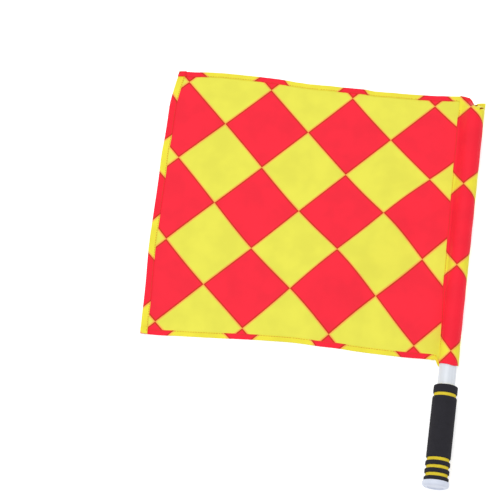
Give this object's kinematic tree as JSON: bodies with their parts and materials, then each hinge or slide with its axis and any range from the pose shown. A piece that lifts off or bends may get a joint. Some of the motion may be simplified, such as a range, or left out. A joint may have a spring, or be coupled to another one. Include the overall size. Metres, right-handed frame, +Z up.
{
  "type": "linesman flag",
  "caption": "Hand signalling flag: check-patterned cloth whose sleeve turns on a white plastic tube, with a banded foam grip and an end cap.",
  "frame": {"origin": "on the surface that the flag lies on, under the middle of the whole flag", "axes": "+Y along the pole from its end cap to its tip, -X from the pole towards the fly edge of the cloth, +Z up from the surface"},
  "size_m": [0.3704, 0.4705, 0.03],
  "materials": {
    "check_cloth": "printed polyester taffeta, red and yellow checks",
    "thread": "polyester sewing thread",
    "tack_thread": "dark polyester sewing thread",
    "tube_plastic": "extruded rigid PVC, satin gloss",
    "cap_plastic": "moulded polyethylene, satin",
    "black_foam": "EVA foam, ground",
    "yellow_foam": "EVA foam, ground"
  },
  "bodies": {
    "pole": {"pole_tube": "tube_plastic", "tip_plug": "cap_plastic", "end_cap": "cap_plastic", "grip_core": "yellow_foam", "grip_end_ring": "black_foam", "grip_rib_lower": "black_foam", "grip_rib_upper": "black_foam", "grip_barrel": "black_foam", "grip_collar": "black_foam"},
    "sleeve": {"pole_sleeve": "check_cloth", "sleeve_seam_thread": "thread", "sleeve_top_thread": "thread", "sleeve_tacks": "tack_thread"},
    "hoist": {"hoist_panel": "check_cloth", "hoist_top_hem": "check_cloth", "hoist_bottom_hem": "check_cloth", "hoist_top_thread": "thread", "hoist_bottom_thread": "thread"},
    "middle": {"middle_panel": "check_cloth", "middle_top_hem": "check_cloth", "middle_bottom_hem": "check_cloth", "middle_top_thread": "thread", "middle_bottom_thread": "thread"},
    "fly": {"fly_panel": "check_cloth", "fly_top_hem": "check_cloth", "fly_bottom_hem": "check_cloth", "fly_top_thread": "thread", "fly_bottom_thread": "thread", "fly_edge_hem": "check_cloth", "fly_edge_thread": "thread"}
  },
  "joints": [
    {"name": "sleeve_swivel", "type": "hinge", "parent": "pole", "child": "sleeve", "pos_m": [0.17017, 0.06358, 0.01231], "axis": [0, 1, -0.0092], "continuous": true},
    {"name": "seam_fold", "type": "hinge", "parent": "sleeve", "child": "hoist", "pos_m": [0.15589, 0.07274, 0.00025], "axis": [-0.0215, 0.9998, 0], "range_deg": [-80, 80]},
    {"name": "hoist_fold", "type": "hinge", "parent": "hoist", "child": "middle", "pos_m": [0.0436, 0.07033, 0.00025], "axis": [-0.0215, 0.9998, 0], "range_deg": [-90, 90]},
    {"name": "fly_fold", "type": "hinge", "parent": "middle", "child": "fly", "pos_m": [-0.06905, 0.06791, 0.00025], "axis": [-0.0215, 0.9998, 0], "range_deg": [-90, 90]}
  ]
}
